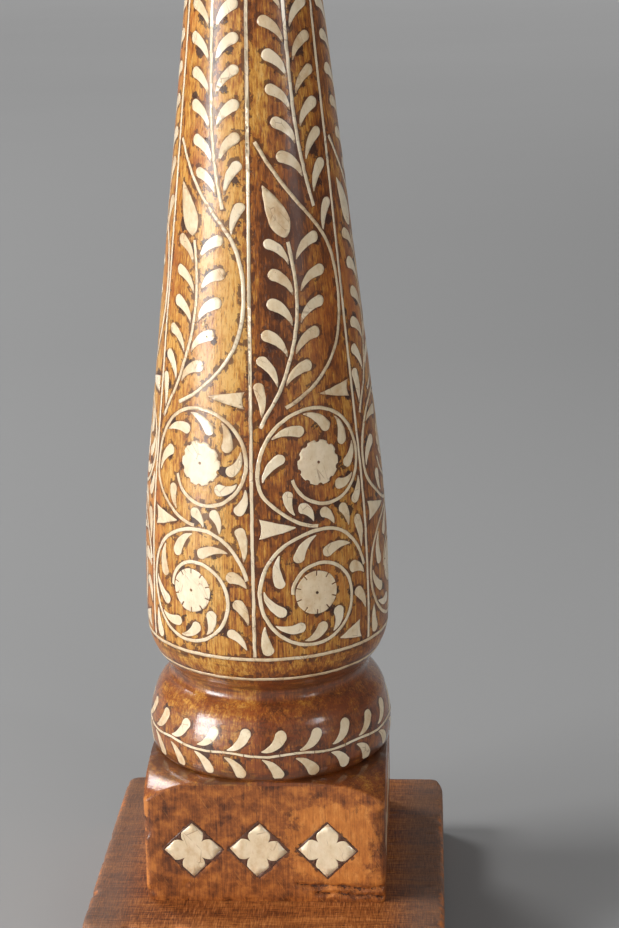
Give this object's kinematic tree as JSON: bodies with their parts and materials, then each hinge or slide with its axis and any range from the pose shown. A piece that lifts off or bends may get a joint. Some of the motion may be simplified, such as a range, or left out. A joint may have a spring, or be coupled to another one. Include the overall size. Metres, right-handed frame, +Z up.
{
  "type": "inlaid wooden candlestick",
  "caption": "Tall turned wooden candlestick on a square board, inlaid with bone scrolls, leafy sprigs and flowers, with a brass pan and cup.",
  "frame": {"origin": "centre of the underside, where the felt feet meet the table", "axes": "+Z up along the column's axis; -Y is the front face of the block; +X is to the right of it"},
  "size_m": [0.122, 0.122, 0.4206],
  "materials": {
    "board_wood": "matt, coarse grained",
    "column_wood": "glossy shellac over worn stain",
    "bone": "polished bone",
    "mastic": "dark lac filler",
    "brass": "worn polish",
    "steel": "dull zinc",
    "felt": "felt"
  },
  "bodies": {
    "root": {"base_board": "board_wood", "column": "column_wood", "felt_feet": "felt", "base_screws": "steel", "drip_pan": "brass", "candle_cup": "brass", "cup_screw": "brass", "panel_1_rosettes": "bone", "panel_1_scroll_stems": "bone", "panel_1_scroll_leaves": "bone", "panel_1_sprig_stems": "bone", "panel_1_sprig_leaves": "bone", "panel_2_rosettes": "bone", "panel_2_scroll_stems": "bone", "panel_2_scroll_leaves": "bone", "panel_2_sprig_stems": "bone", "panel_2_sprig_leaves": "bone", "panel_3_rosettes": "bone", "panel_3_scroll_stems": "bone", "panel_3_scroll_leaves": "bone", "panel_3_sprig_stems": "bone", "panel_3_sprig_leaves": "bone", "panel_4_rosettes": "bone", "panel_4_scroll_stems": "bone", "panel_4_scroll_leaves": "bone", "panel_4_sprig_stems": "bone", "panel_4_sprig_leaves": "bone", "panel_5_rosettes": "bone", "panel_5_scroll_stems": "bone", "panel_5_scroll_leaves": "bone", "panel_5_sprig_stems": "bone", "panel_5_sprig_leaves": "bone", "panel_6_rosettes": "bone", "panel_6_scroll_stems": "bone", "panel_6_scroll_leaves": "bone", "panel_6_sprig_stems": "bone", "panel_6_sprig_leaves": "bone", "panel_strings": "bone", "lower_ring_string": "bone", "upper_ring_string": "bone", "top_ring_string": "bone", "band_vine_stem": "bone", "band_vine_leaves": "bone", "block_flowers_front": "bone", "block_flowers_right": "bone", "block_flowers_back": "bone", "block_flowers_left": "bone", "block_mastic_front": "mastic", "block_mastic_right": "mastic", "block_mastic_back": "mastic", "block_mastic_left": "mastic"}
  },
  "joints": []
}
